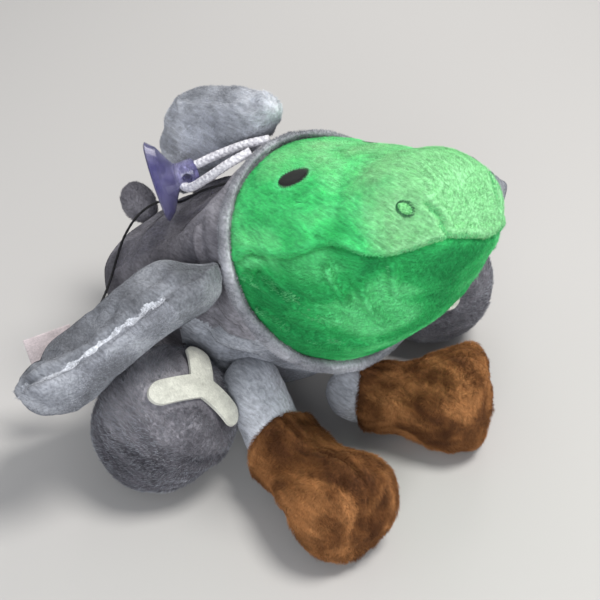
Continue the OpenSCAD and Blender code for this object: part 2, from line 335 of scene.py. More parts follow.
def mixed(nodes, links, a, b, factor, mode="MIX"):
    mix = nodes.new("ShaderNodeMix")
    mix.data_type = "RGBA"
    mix.blend_type = mode
    for socket, value in ((mix.inputs["A"], a), (mix.inputs["B"], b), (mix.inputs["Factor"], factor)):
        if isinstance(value, (tuple, float, int)):
            socket.default_value = value
        else:
            links.new(value, socket)
    return mix.outputs["Result"]


def grey_level(v):
    return (v, v, v, 1)


def add_bump(nodes, links, shader, height, strength, depth):
    bump = nodes.new("ShaderNodeBump")
    bump.inputs["Strength"].default_value = strength
    bump.inputs["Distance"].default_value = depth
    links.new(height, bump.inputs["Height"])
    links.new(bump.outputs["Normal"], shader.inputs["Normal"])


STREAKS = [(0.30, grey_level(0.66)), (0.50, grey_level(0.96)), (0.72, grey_level(1.28))]
STRAND_ALONG = [(0.0, grey_level(0.72)), (0.75, grey_level(1.10))]
STRAND_EACH = [(0.0, grey_level(0.86)), (1.0, grey_level(1.16))]
HIGHLIGHT_PATCHES = 0.030


def painted_highlight(nodes, links, colour, pale, direction, start, end):
    """Mixes in a painted highlight, a paler colour, along a direction of the row frame, from start to end in
    metres.
    """
    coordinates = nodes.new("ShaderNodeTexCoord")
    dot = nodes.new("ShaderNodeVectorMath")
    dot.operation = "DOT_PRODUCT"
    dot.inputs[1].default_value = direction
    links.new(coordinates.outputs["Object"], dot.inputs[0])
    patchy = nodes.new("ShaderNodeMath")
    patchy.operation = "MULTIPLY_ADD"
    patchy.inputs[1].default_value = HIGHLIGHT_PATCHES
    links.new(placed_noise(nodes, links, 45, 3.0), patchy.inputs[0])
    links.new(dot.outputs["Value"], patchy.inputs[2])
    amount = nodes.new("ShaderNodeMapRange")
    amount.inputs["From Min"].default_value = start + HIGHLIGHT_PATCHES / 2
    amount.inputs["From Max"].default_value = end + HIGHLIGHT_PATCHES / 2
    links.new(patchy.outputs["Value"], amount.inputs["Value"])
    return mixed(nodes, links, colour, pale, amount.outputs["Result"])


def plush(name, dark, main, light, turn=(0, 0, 0), fibre=900, patch=38, highlight_ways=(), strand=False):
    """Short pile: brushed patches, streaks of lying fibres and a soft sheen, with a painted highlight mixed
    in along any highlight_ways.
    """
    made, nodes, links, shader = material(name)
    patches = placed_noise(nodes, links, patch, 2.0, (1.0, 1.9, 1.0), turn, 0.6)
    colour = ramp(nodes, links, patches, [(0.34, dark), (0.50, main), (0.68, light)])
    # Painted highlight, mixed in along each way
    for direction, start, end in highlight_ways:
        colour = painted_highlight(nodes, links, colour, HIGHLIGHT_MINT, direction, start, end)
    streaks = placed_noise(nodes, links, fibre, 3.0, (1, 4.5, 1), turn, 0.3)
    contrast = ramp(nodes, links, streaks, STREAKS)
    colour = mixed(nodes, links, colour, contrast, 1.0, "MULTIPLY")
    if strand:
        hair = nodes.new("ShaderNodeHairInfo")
        for output, shades in (("Intercept", STRAND_ALONG), ("Random", STRAND_EACH)):
            shade = ramp(nodes, links, hair.outputs[output], shades)
            colour = mixed(nodes, links, colour, shade, 1.0, "MULTIPLY")
    else:
        add_bump(nodes, links, shader, streaks, 0.6, 0.0006)
    links.new(colour, shader.inputs["Base Color"])
    shader.inputs["Roughness"].default_value = 0.85
    shader.inputs["Specular IOR Level"].default_value = 0.25
    shader.inputs["Sheen Weight"].default_value = 0.35
    shader.inputs["Sheen Roughness"].default_value = 0.45
    shader.inputs["Sheen Tint"].default_value = light
    return made


GREEN = (srgb(54, 184, 102), srgb(82, 212, 128), srgb(132, 232, 160))
GREEN_LOW = (srgb(32, 142, 76), srgb(52, 176, 97), srgb(100, 208, 134))
# Paler greens painted along the folds and the lip as their highlight
GREEN_FOLD_HIGHLIGHT = (srgb(62, 172, 98), srgb(92, 198, 128), srgb(132, 222, 158))
GREY = (srgb(84, 82, 89), srgb(114, 112, 119), srgb(154, 152, 159))
GREY_WING = (srgb(94, 96, 102), srgb(122, 125, 132), srgb(162, 165, 172))
GREY_BLUE = (srgb(108, 110, 117), srgb(138, 141, 149), srgb(178, 181, 189))
GREY_LIGHT = (srgb(148, 151, 158), srgb(184, 187, 195), srgb(216, 219, 226))
HEM_GREY = (srgb(126, 127, 134), srgb(152, 153, 160), srgb(190, 191, 198))
BROWN = (srgb(84, 50, 26), srgb(118, 76, 42), srgb(172, 120, 74))
# Painted highlight: the head gets paler upwards, to its crown, and forwards, to its nose, as if lit from
# above
HIGHLIGHT_MINT = srgb(140, 208, 148)
TOP_LIGHT_WAYS = (((0.0, 0.248, 1.056), 0.1385, 0.1505), ((0.0, -0.809, 0.588), 0.1450, 0.1590))

looks = {}
for look, colours, fibre, turn in (
    ("green_plush", GREEN, 900, (0, 0, 0)),
    ("green_plush_low", GREEN_LOW, 900, (20, 0, 30)),
    ("green_fold_highlight", GREEN_FOLD_HIGHLIGHT, 900, (0, 0, 0)),
    ("grey_plush", GREY, 900, (0, 0, 0)),
    ("wing_plush", GREY_WING, 900, (0, 0, 40)),
    ("blue_grey_plush", GREY_BLUE, 900, (0, 0, 40)),
    ("light_plush", GREY_LIGHT, 800, (0, 0, 70)),
    ("hem_plush", HEM_GREY, 800, (0, 0, 20)),
    ("brown_plush", BROWN, 700, (0, 0, 10)),
):
    # Only the upper head gets the painted highlight
    highlight_ways = TOP_LIGHT_WAYS if look == "green_plush" else ()
    patch = 70 if look == "brown_plush" else 38
    looks[look] = plush(look, *colours, turn, fibre, patch, highlight_ways)
    looks[look + "_pile"] = plush(look + "_pile", *colours, turn, fibre * 0.5, patch, highlight_ways, strand=True)


def felt(name, colour):
    made, nodes, links, shader = material(name)
    mottle = placed_noise(nodes, links, 120, 4.0)
    fibres = placed_noise(nodes, links, 1500, 4.0, (1, 2.5, 1), (0, 0, 35), 1.2)
    light = tuple(min(1, c * 1.12) for c in colour[:3]) + (1,)
    dark = tuple(c * 0.80 for c in colour[:3]) + (1,)
    base = ramp(nodes, links, mottle, [(0.35, dark), (0.65, light)])
    contrast = ramp(nodes, links, fibres, [(0.3, grey_level(0.78)), (0.7, grey_level(1.12))])
    links.new(mixed(nodes, links, base, contrast, 1.0, "MULTIPLY"), shader.inputs["Base Color"])
    add_bump(nodes, links, shader, fibres, 0.5, 0.0003)
    shader.inputs["Roughness"].default_value = 0.95
    shader.inputs["Sheen Weight"].default_value = 0.2
    return made


def thread(name, dark, light, gloss=0.45, scale=1800):
    """Twisted embroidery or cord yarn with a little gloss."""
    made, nodes, links, shader = material(name)
    twist = placed_noise(nodes, links, scale, 2.0, (1, 2.0, 1), (30, 0, 20))
    links.new(ramp(nodes, links, twist, [(0.35, dark), (0.65, light)]), shader.inputs["Base Color"])
    add_bump(nodes, links, shader, twist, 0.4, 0.0002)
    shader.inputs["Roughness"].default_value = gloss
    return made


def clear_vinyl(name):
    """Violet-tinted soft vinyl with faint flow marks."""
    made, nodes, links, shader = material(name)
    haze = placed_noise(nodes, links, 90, 3.0, (1, 1, 2.5))
    tint = ramp(nodes, links, haze, [(0.35, srgb(112, 108, 170)), (0.65, srgb(176, 174, 214))])
    links.new(tint, shader.inputs["Base Color"])
    rough = nodes.new("ShaderNodeMapRange")
    rough.inputs["To Min"].default_value = 0.10
    rough.inputs["To Max"].default_value = 0.24
    links.new(haze, rough.inputs["Value"])
    links.new(rough.outputs["Result"], shader.inputs["Roughness"])
    shader.inputs["IOR"].default_value = 1.45
    shader.inputs["Transmission Weight"].default_value = 0.78
    return made


looks["cream_felt"] = felt("cream_felt", srgb(204, 204, 194))
looks["black_thread"] = thread("black_thread", srgb(2, 3, 3), srgb(12, 15, 13), 0.7)
looks["eye_rim_thread"] = thread("eye_rim_thread", srgb(30, 70, 42), srgb(70, 128, 84), 0.5)
looks["green_thread"] = thread("green_thread", srgb(66, 160, 82), srgb(142, 222, 148), 0.4)
looks["dark_green_thread"] = thread("dark_green_thread", srgb(28, 84, 48), srgb(44, 112, 66), 0.5)
looks["white_cord"] = thread("white_cord", srgb(190, 188, 196), srgb(244, 243, 247), 0.6, 900)
looks["black_string"] = thread("black_string", srgb(8, 8, 9), srgb(30, 30, 32), 0.7)
looks["label_cloth"] = felt("label_cloth", srgb(206, 194, 196))
looks["vinyl"] = clear_vinyl("vinyl")


def dress(obj, look):
    obj.data.materials.clear()
    obj.data.materials.append(looks[look])


def dress_part(obj, look, accepts):
    """Another look on the faces whose middle, in the toy frame, accepts() takes."""
    faces = obj.data.polygons
    obj.data.materials.append(looks[look])
    middles = np.empty(len(faces) * 3)
    faces.foreach_get("center", middles)
    slots = np.empty(len(faces), np.int32)
    faces.foreach_get("material_index", slots)
    slots[accepts(middles.reshape(-1, 3) / MM - PLACE)] = len(obj.data.materials) - 1
    faces.foreach_set("material_index", slots)


# ---- Pile ----

PILE_SEED = 11


def pile(
    obj, look, length=1.3, density=3.6, flow=(0, 1, -0.2),
    swirl=0.5, lift=0.45, thick=0.06, keep=None, body=None,
):
    """Lying fibres on a cover, density to a square millimetre, which move with it or with a body.

    flow is the way the nap lies, swirl and lift turn it sideways and up, and keep says where fibres grow.
    """
    mesh = obj.data
    mesh.calc_loop_triangles()
    tris = np.empty(len(mesh.loop_triangles) * 3, int)
    mesh.loop_triangles.foreach_get("vertices", tris)
    tris = tris.reshape(-1, 3)
    p, n = points_of(mesh), normals_of(mesh)
    a, b, c = p[tris[:, 0]], p[tris[:, 1]], p[tris[:, 2]]
    area = np.linalg.norm(np.cross(b - a, c - a), axis=1) / 2
    share = 1.0
    count = int(area.sum() * density * share)
    rng = np.random.default_rng(PILE_SEED)
    picked = rng.choice(len(tris), count, p=area / area.sum())
    u, v = rng.random(count), rng.random(count)
    flip = u + v > 1
    u[flip], v[flip] = 1 - u[flip], 1 - v[flip]
    w = np.stack([1 - u - v, u, v], 1)[:, :, None]
    root = (p[tris[picked]] * w).sum(1)
    out = (n[tris[picked]] * w).sum(1)
    out /= np.maximum(np.linalg.norm(out, axis=1), 1e-9)[:, None]
    if keep is not None:
        kept = keep(root)
        root, out = root[kept], out[kept]
    count = len(root)
    if count == 0:
        return
    way = np.broadcast_to(np.asarray(flow, float), root.shape) if not callable(flow) else flow(root)
    way = way - out * (way * out).sum(1)[:, None]
    weak = np.linalg.norm(way, axis=1) < 0.15
    way[weak] = np.cross(out[weak], [1.0, 0.2, 0.1])
    way /= np.linalg.norm(way, axis=1)[:, None]
    across = np.cross(out, way)
    angle = swirl * ripple(root, 16, 3) + 0.30 * rng.standard_normal(count)
    way = way * np.cos(angle)[:, None] + across * np.sin(angle)[:, None]
    rise = np.clip(lift + 0.30 * ripple(root, 9, 5) + 0.16 * rng.standard_normal(count), 0.08, 1.2)
    long = length * np.clip(1 + 0.22 * rng.standard_normal(count), 0.4, 1.7)

    def leaning(angle):
        return way * np.cos(angle)[:, None] + out * np.sin(angle)[:, None]

    middle = root + long[:, None] * 0.55 * leaning(rise * 1.25)
    tip = middle + long[:, None] * 0.45 * leaning(rise * 0.7)
    start = root - 0.15 * out
    strands = np.stack([start, middle, tip], 1)
    strands[:, :, 2] = np.maximum(strands[:, :, 2], 0.15)
    hairs = bpy.data.hair_curves.new(obj.name + "_pile")
    hairs.add_curves([3] * count)
    hairs.points.foreach_set("position", row(strands.reshape(-1, 3)).ravel().astype(np.float32))
    radius = hairs.attributes.get("radius") or hairs.attributes.new("radius", "FLOAT", "POINT")
    radius.data.foreach_set("value", np.tile(np.array([1.0, 0.85, 0.25], np.float32) * thick * MM, count))
    hairs.materials.append(looks[look])
    made = bpy.data.objects.new(obj.name + "_pile", hairs)
    scene.collection.objects.link(made)
    if body:
        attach(made, body)
    else:
        made.parent = obj


def soft_piece(obj, slot, body, fill, *nodes):
    """Hides the CAD nodes that a padded piece stands for and hangs it on the body it moves with. slot and
    fill, what it is made of, are not used.
    """
    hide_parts(*nodes)
    if body:
        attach(obj, body)


# ---- Hanging cord and label string, along the CAD's own routes ----

LOOP_ROUTE = [
    (-6, 26, 136), (-13, 35, 132), (-21, 46, 125), (-27, 54, 119), (-31, 60, 115),
    (-34, 57, 112), (-34, 49, 112), (-31, 39, 120), (-25, 30, 129), (-17, 25, 134),
]
CORD_D = 4.0
STRING_ROUTE = [
    (-29, 25, 123), (-31, 43, 112), (-33, 59, 100), (-33, 79, 91), (-39, 88, 82), (-47, 89, 73),
    (-55, 85, 65), (-63, 79, 59), (-73, 72, 54), (-84, 66, 49), (-91, 63, 47), (-96, 61, 46),
]
STRING_D = 1.2


def along(route, spacing):
    """Points at an even spacing on the smooth line through a route."""
    dense = fine(route, 40)
    step = np.linalg.norm(np.diff(dense, axis=0), axis=1)
    far = np.concatenate([[0], np.cumsum(step)])
    count = max(int(far[-1] / spacing), 8)
    at = np.linspace(0, far[-1], count + 1)
    return np.stack([np.interp(at, far, dense[:, k]) for k in range(3)], 1), far[-1]


def braided(name, route, diameter, pitch=5.0, sides=48, spacing=0.35):
    """Braided cord: a tube whose surface bulges where the crossing strands lie on top."""
    line, length = along(route, spacing)
    ahead = np.gradient(line, axis=0)
    ahead /= np.linalg.norm(ahead, axis=1)[:, None]
    side = np.cross(ahead, [0.3, 0.2, 1.0])
    side /= np.linalg.norm(side, axis=1)[:, None]
    top = np.cross(side, ahead)
    turn = np.linspace(0, 2 * math.pi, sides, endpoint=False)
    rings = []
    for i, (p, s, t) in enumerate(zip(line, side, top)):
        phase = 2 * math.pi * i * length / (len(line) - 1) / pitch
        one = np.abs(np.sin(2 * turn + phase))
        other = np.abs(np.sin(2 * turn - phase))
        over = np.maximum(one ** 0.7 * (1 + np.sin(4 * turn)), other ** 0.7 * (1 - np.sin(4 * turn)))
        r = diameter / 2 * (0.86 + 0.16 * np.clip(over, 0, 1.2))
        rings.append(p + np.outer(np.cos(turn) * r, s) + np.outer(np.sin(turn) * r, t))
    return loft(name, rings), length


cord, cord_length = braided("hanging_cord", LOOP_ROUTE, CORD_D)
dress(cord, "white_cord")
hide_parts("hanging_loop")
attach(cord, "body")

string_line, string_length = along(STRING_ROUTE, 1.0)
string_twist = 1 + 0.10 * np.sin(np.arange(len(string_line)) * 1.9)
string = tube("label_string_twist", string_line, STRING_D / 2 * string_twist)
dress(string, "black_string")
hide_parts("label_string")
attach(string, "body")


# ---- Body and hood ----

BODY_HALF_W = 61
HOOD_AT = np.array([0.0, -7.0, 92.0])
HEAD_PITCH = 36
HEAD_R = 49
HEAD_L = 104
FABRIC = 2.5
HOOD_R = HEAD_R + FABRIC + 0.9


def head_place(x, s, v):
    """Toy-frame place of a point x across, s in front of the hood and v up, in the head's own frame."""
    turn = turned("X", -HEAD_PITCH)
    return HOOD_AT + turn @ np.array([x, -s, v])


def head_frame(points):
    """(x, s, v) of toy-frame points."""
    q = (points - HOOD_AT) @ turned("X", -HEAD_PITCH)
    return np.stack([q[:, 0], -q[:, 1], q[:, 2]], 1)


# Station: [y, z, tilt of the ring, half-width, height above the middle, depth below it]
BODY = [
    [-7, 92, 36, HOOD_R - 6, HOOD_R - 6, HOOD_R - 6],
    [-7, 92, 36, HOOD_R - 1, HOOD_R - 1, HOOD_R - 1],
    [9, 81, 32, 0.92 * BODY_HALF_W, 50, 54],
    [29, 69, 27, 0.97 * BODY_HALF_W, 47, 57],
    [50, 60, 20, BODY_HALF_W, 43, 58],
    [70, 54, 10, BODY_HALF_W, 39, 54],
    [90, 49, 0, 0.93 * BODY_HALF_W, 33, 49],
    [106, 45, -6, 0.76 * BODY_HALF_W, 26, 42],
    [118, 42, -12, 0.45 * BODY_HALF_W, 16, 26],
    [122, 41, -16, 6, 4, 5],
]


def body_ring(s, sides):
    tilt = math.radians(s[2])
    up = (0, math.sin(tilt), math.cos(tilt))
    return above_floor(ring((0, s[0], s[1]), (1, 0, 0), up, s[3], s[4], s[5], sides))


body = loft("body_plush", [body_ring(s, 72) for s in fine(BODY, 4)])
stuffed(body, lambda p: (p[:, 1] < -4) | (np.abs(p[:, 0]) < 2.0) | (p[:, 2] < 1.2), growth=0.05, cap=3.0)
refined(body, 2)

HOOD_SEAM = [(-44, 23, 104), (-50, 18, 98), (-54, 12, 93), (-56, 8, 86)]
BELLY_FOLDS = [
    [(-56, 8, 69), (-52, -2, 67), (-48, -11, 66)],
    [(-57, 14, 60), (-52, 2, 58), (-44, -10, 57)],
    [(-56, 6, 76), (-54, -4, 74), (-52, -8, 73)],
    [(-58, 20, 50), (-50, 8, 47), (-40, -6, 48)],
]


body_surface = surface_of(body)
hood_seams = [laid_on(body_surface, side) for side in (HOOD_SEAM, mirrored(HOOD_SEAM))]
belly_lines = [laid_on(body_surface, side) for route in BELLY_FOLDS for side in (route, mirrored(route))]


def body_field(p):
    field = 0.7 * ripple(p, 34, 1) + 0.35 * ripple(p, 12, 2)
    for line in hood_seams:
        field += seam(p, line, 1.6, 1.8, 0.8)
    for line in belly_lines:
        field += fold(p, line, 2.2, 1.3)
    folded = np.stack([-np.abs(p[:, 0]), p[:, 1], p[:, 2]], 1)
    field += 4.5 * bell(distance(folded, [(-40, -5, 41), (-26, -6, 37)]), 9)
    return field * np.clip(p[:, 2] / 3, 0, 1)


def on_belly(points):
    """The paler front of the body, under the hood."""
    return (points[:, 1] < 26 + 5 * ripple(points, 9, 41)) & (points[:, 2] < 70 + 4 * ripple(points, 9, 42))


push(body, body_field)
dress(body, "grey_plush")
dress_part(body, "blue_grey_plush", on_belly)
soft_piece(body, "grey_plush", "body", 0.8, "body_cover", "body_filling")


def back_pile(points):
    return (head_frame(points)[:, 1] < -4) & ~on_belly(points)


def belly_pile(points):
    return (head_frame(points)[:, 1] < -4) & on_belly(points)


pile(body, "grey_plush_pile", flow=(0, 1, -0.5), swirl=0.6, keep=back_pile)
pile(body, "blue_grey_plush_pile", length=1.6, flow=(0, 1, -0.7), swirl=0.8, keep=belly_pile)


HEM_WIDE = 6.5
HEM_THICK = 4.6


def hem_rings():
    rings = []
    count = 160
    for i in range(count):
        a = 2 * math.pi * i / count
        out = np.array([math.cos(a), 0, math.sin(a)])
        swell = (1 + 0.10 * noise.noise(Vector(out) * 4)) * (1 - 0.35 * max(out[2], 0))
        middle = out * (HOOD_R + 0.3) + np.array([0, -HEM_WIDE / 2 + 1.6, 0])
        thick, wide = HEM_THICK / 2 * swell, HEM_WIDE / 2
        cut = ring(middle, out, (0, -1, 0), thick, wide * swell, wide, 20)
        rings.append(HOOD_AT + cut @ turned("X", -HEAD_PITCH).T)
    return np.array(rings)


def closed_sweep(name, rings):
    """Ring-shaped solid through rings that come back to the first one."""
    n, sides = rings.shape[:2]
    faces = []
    for i in range(n):
        for j in range(sides):
            k, up = (j + 1) % sides, (i + 1) % n
            faces.append((i * sides + j, up * sides + j, up * sides + k, i * sides + k))
    return mesh_object(name, rings.reshape(-1, 3), faces)


hem = closed_sweep("hood_hem_roll", hem_rings())
push(hem, lambda p: 0.35 * ripple(p, 8, 4))
dress(hem, "hem_plush")
soft_piece(hem, "light_plush", "body", 0.5, "hood_hem")
pile(hem, "hem_plush_pile", length=1.1, flow=(0, 1, -0.7), swirl=0.3, lift=0.6)


# ---- Head ----

HEAD = [
    [-14, HEAD_R - 4, HEAD_R - 4, HEAD_R - 4],
    [0, HEAD_R, HEAD_R, HEAD_R],
    [0.18 * HEAD_L, 0.98 * HEAD_R, 0.91 * HEAD_R, 0.97 * HEAD_R],
    [0.37 * HEAD_L, 0.92 * HEAD_R, 0.76 * HEAD_R, 0.88 * HEAD_R],
    [0.56 * HEAD_L, 0.82 * HEAD_R, 0.63 * HEAD_R, 0.77 * HEAD_R],
    [0.71 * HEAD_L, 0.68 * HEAD_R, 0.52 * HEAD_R, 0.60 * HEAD_R],
    [0.83 * HEAD_L, 0.53 * HEAD_R, 0.44 * HEAD_R, 0.46 * HEAD_R],
    [0.90 * HEAD_L, 0.42 * HEAD_R, 0.37 * HEAD_R, 0.34 * HEAD_R],
    [0.935 * HEAD_L, 0.30 * HEAD_R, 0.27 * HEAD_R, 0.22 * HEAD_R],
    [0.947 * HEAD_L, 5, 5, 4],
]
# The mouth seam: [in front of the hood, up]
MOUTH = [
    [-14, 11], [0, 11], [14, 13], [30, 8], [40, 5.5], [52, 5.5], [60, 5], [66, 2],
    [72, -3], [80, -7], [98, -8], [110, -8],
]
MOUTH_SAG = 7


def mouth_height(h):
    """Height of the mouth seam at (x, s, v) points. It sags on the nose's front and on its left side."""
    m = np.array(MOUTH)
    sag = np.clip((h[:, 0] + 14) / 18, 0, 1) * np.clip((h[:, 1] - 62) / 22, 0, 1)
    return np.interp(h[:, 1], m[:, 0], m[:, 1]) - MOUTH_SAG * sag


def head_ring(s, sides):
    q = ring((0, -s[0], 0), (1, 0, 0), (0, 0, 1), s[1], s[2], s[3], sides)
    return HOOD_AT + q @ turned("X", -HEAD_PITCH).T


head = loft("head", [head_ring(s, 72) for s in fine(HEAD, 5)])
stuffed(head, lambda p: head_frame(p)[:, 1] < 2, pressure=2.5, growth=0.03, cap=0.9)
refined(head, 2)

# Places and routes on the right cheek, in the head's own frame: (across, in front of the hood, up)
EYE_AT = np.array([-22.8, 30.8, 34.6])
NOSTRIL_AT = np.array([-23.0, 90.0, 8.5])
JAW_FOLDS = [
    [(-48.2, 8, 7), (-48.2, 11, 4.3), (-46.9, 23, -5.3), (-43.4, 32, -15), (-37, 36, -25)],
    [(-47, 17, 9.5), (-46.5, 23, 6.5), (-46.4, 30, -3), (-44, 33, -11)],
    [(-40.5, 56, -3.9), (-38.1, 55, -13.9), (-36.5, 53, -18.5)],
    [(-34.3, 63, -15.7), (-29.9, 58, -25.2), (-24.8, 54, -31)],
    [(-46, 8, -12), (-41, 18, -25), (-30, 30, -35), (-18, 38, -39)],
    [(-29.4, 79, -10.9), (-26.7, 71, -21.2)],
    [(-47.6, 19, 2.4), (-46.5, 27, -8), (-42, 37, -17), (-36, 42, -25)],
]
NOSE_CREASE = [(-17.2, 96.3, 7.1), (-16.5, 98, 4), (-15.5, 99.2, 1.2), (-15, 98.5, -7)]


def both(route):
    return (np.array(route, float), np.array(route, float) * [-1, 1, 1])


def head_lines(surface, routes):
    """Routes of the head's own frame on both cheeks, laid on the surface, in the toy frame."""
    return [laid_on(surface, [head_place(*q) for q in side]) for route in routes for side in both(route)]


head_surface = surface_of(head)
cheek_folds = head_lines(head_surface, JAW_FOLDS)
nose_creases = head_lines(head_surface, [NOSE_CREASE])


def head_field(p):
    h = head_frame(p)
    s = h[:, 1]
    field = 0.6 * ripple(p, 30, 6) + 0.25 * ripple(p, 11, 7)
    # The mouth seam's groove, with the upper panel rolled over it
    off = h[:, 2] - mouth_height(h)
    field += (1.3 * bell(off - 2.6, 2.0) + 0.4 * bell(off + 3.2, 2.4) - 1.3 * bell(off, 0.9)) * (s > -4)
    for line in cheek_folds:
        field += fold(p, line, 1.9, 2.0)
    for line in nose_creases:
        field += seam(p, line, 1.2, 1.2, 0.6)
    # The hollow between the brow and the snout, and the swell over the nostrils
    for side in both([(-18, 62, 33), (-30, 61, 22), (-39, 62, 9)]):
        field -= 2.0 * bell(distance(h, side), 9)
    field -= 0.6 * bell(distance(h, [(-20, 60, 34), (20, 60, 34)]), 10)
    field += 1.8 * bell(distance(h, [(-16, 82, 26), (16, 82, 26)]), 12)
    # Stitched-in places of the eyes and nostrils
    for side in both([EYE_AT, EYE_AT + [0.1, 0.1, 0]]):
        field -= 1.2 * bell(distance(h, side), 8)
    for side in both([NOSTRIL_AT, NOSTRIL_AT + [0, 0.1, 0]]):
        field -= 1.0 * bell(distance(h, side), 5)
    return field * np.clip((s + 2) / 8, 0, 1)


push(head, head_field)


def part_of(obj, name, keep):
    """New object from the faces whose middle keep() accepts."""
    built = bmesh.new()
    built.from_mesh(obj.data)
    built.faces.ensure_lookup_table()
    middles = np.array([f.calc_center_median() for f in built.faces]) / MM - PLACE
    kept = keep(middles)
    bmesh.ops.delete(built, geom=[f for f, k in zip(built.faces, kept) if not k], context="FACES")
    mesh = bpy.data.meshes.new(name)
    built.to_mesh(mesh)
    built.free()
    mesh.shade_smooth()
    made = bpy.data.objects.new(name, mesh)
    scene.collection.objects.link(made)
    return made


def above_mouth(points):
    h = head_frame(points)
    return h[:, 2] > mouth_height(h)


head_surface = surface_of(head)
crease_lines = head_lines(head_surface, JAW_FOLDS + [NOSE_CREASE])
head_upper = part_of(head, "head_upper_plush", above_mouth)
head_lower = part_of(head, "head_lower_plush", lambda m: ~above_mouth(m))
bpy.data.objects.remove(head)


def head_flow(points):
    """The nap lies back from the nose and down the sides."""
    side = np.sign(points[:, :1]) * np.array([[0.35, 0, 0]])
    return side + np.array([0.0, 0.9, -0.55])


def clear_of_features(points):
    """No pile grows on the embroidery or in the seam."""
    h = head_frame(points)
    folded = np.stack([-np.abs(h[:, 0]), h[:, 1], h[:, 2]], 1)
    eye = distance(folded, [EYE_AT - [2.0, 2.8, 0], EYE_AT + [2.0, 2.8, 0]]) > 5.9
    nostril = distance(folded, [NOSTRIL_AT - [0.2, 1.6, -1.4], NOSTRIL_AT + [0.2, 1.4, -1.4]]) > 2.4
    return eye & nostril & (h[:, 1] > -3)


for obj, look, slot, nodes in (
    (head_upper, "green_plush", "green_plush_light", ("head_upper", "head_filling")),
    (head_lower, "green_plush_low", "green_plush", ("head_lower",)),
):
    dress(obj, look)
    soft_piece(obj, slot, "body", 0.8, *nodes)
    pile(obj, look + "_pile", 1.1, 4.2, head_flow, swirl=0.4, thick=0.052, keep=clear_of_features)


def on_fold_highlights(points):
    """Painted highlight: where a paler pile lies along the folds and on the lip of the mouth."""
    h = head_frame(points)
    off = h[:, 2] - mouth_height(h)
    broken = ripple(points, 5, 31)
    folded = nearest_line(points, crease_lines) < 1.0 + 1.1 * broken
    lip = np.abs(off - 1.4) < 0.5 + 0.6 * broken
    return (folded | lip) & (h[:, 1] > 2)


# Painted highlight: paler pile along the folds and on the lip of the mouth
for obj in (head_upper, head_lower):
    pile(obj, "green_fold_highlight_pile", 1.5, 3, head_flow, lift=0.5, keep=on_fold_highlights)


def on_head(point, out, lift):
    """The place on the head's surface under a point, lifted along out."""
    hit, normal, index, far = head_surface.ray_cast(Vector(point + out * 12), Vector(-out))
    return (np.array(hit) if hit is not None else point) + out * lift


def embroidered(name, at, ends, half_short, look, rim_look, node, side, count=26):
    """Oval of satin stitches, sewn across its short way, with a rim of stitches round it."""
    mirror = np.array([side, 1, 1])
    a, b = (head_place(*(np.array(e) * mirror)) for e in ends)
    centre = head_place(*(at * mirror))
    back = head_place(*(np.array([0, at[1] - 6, -4]) * mirror))
    out = centre - back
    out /= np.linalg.norm(out)
    length = (b - a) - out * ((b - a) @ out)
    half_long = np.linalg.norm(length) / 2
    length /= 2 * half_long
    short = np.cross(out, length)
    rows, faces = [], []
    sides = 8

    def stitch(start, end, radius, lift):
        steps = 7
        line = []
        for k in range(steps):
            t = k / (steps - 1)
            flat = start * (1 - t) + end * t
            line.append(on_head(flat, out, lift * math.sin(math.pi * t) ** 0.5 - 0.15))
        line = np.array(line)
        ahead = (end - start) / np.linalg.norm(end - start)
        across = np.cross(ahead, out)
        base = sum(len(r) for r in rows)
        for p in line:
            rows.append(ring(p, across, out, radius, radius, radius, sides))
        for i in range(steps - 1):
            for j in range(sides):
                k = (j + 1) % sides
                faces.append(tuple(base + i * sides + q for q in (j, k, k + sides, j + sides)))

    for i in range(count):
        t = -1 + 2 * (i + 0.5) / count
        half = half_short * math.sqrt(1 - t * t)
        sway = 0.35 * math.sin(i * 2.4)
        middle = centre + length * (t * half_long)
        near, far = half + sway * 0.4, half - sway * 0.4
        stitch(middle - short * near, middle + short * far, half_long / count * 1.15, 0.75)
    obj = mesh_object(name, np.vstack(rows), faces)
    dress(obj, look)
    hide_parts(node)
    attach(obj, "body")
    rows.clear()
    faces.clear()
    around = 34
    for i in range(around):
        angle = 2 * math.pi * i / around
        spot = centre + length * (half_long * math.cos(angle)) + short * (half_short * math.sin(angle))
        inward = centre - spot
        inward /= np.linalg.norm(inward)
        stitch(spot - inward * 0.9, spot + inward * 0.9, 0.26, 0.35)
    rim = mesh_object(name + "_rim", np.vstack(rows), faces)
    dress(rim, rim_look)
    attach(rim, "body")
    return obj


for side, word in ((1, "right"), (-1, "left")):
    embroidered(
        f"eye_{word}_stitches", EYE_AT, ((-26.6, 25.6, 34.6), (-18.8, 36.0, 33.2)), 5.6,
        "black_thread", "eye_rim_thread", f"eye_{word}", side,
    )
    embroidered(
        f"nostril_{word}_stitches", NOSTRIL_AT, ((-23.8, 88.0, 10.9), (-22.4, 92.2, 5.9)), 2.3,
        "green_thread", "dark_green_thread", f"nostril_{word}", side, count=14,
    )


# ---- Wings ----

WING_L = 63
WING_CHORD = 62
# Station: [out along the wing, share of the chord, height above the middle, depth below it]
# The first ones are inside the body
WING = [
    [-34, 0.40, 1, 6],
    [-30, 0.72, 2, 11],
    [-24, 0.88, 6, 13.5],
    [-18, 0.95, 11.5, 14],
    [-11, 0.98, 13.8, 13.8],
    [4, 1, 13.6, 13.6],
    [18, 1, 12.8, 14],
    [30, 0.99, 11.2, 16.5],
    [40, 0.97, 10.2, 18.5],
    [49, 0.93, 9.4, 18],
    [56, 0.82, 8, 14.5],
    [61, 0.58, 5.5, 9.5],
    [WING_L, 0.20, 2, 3],
]
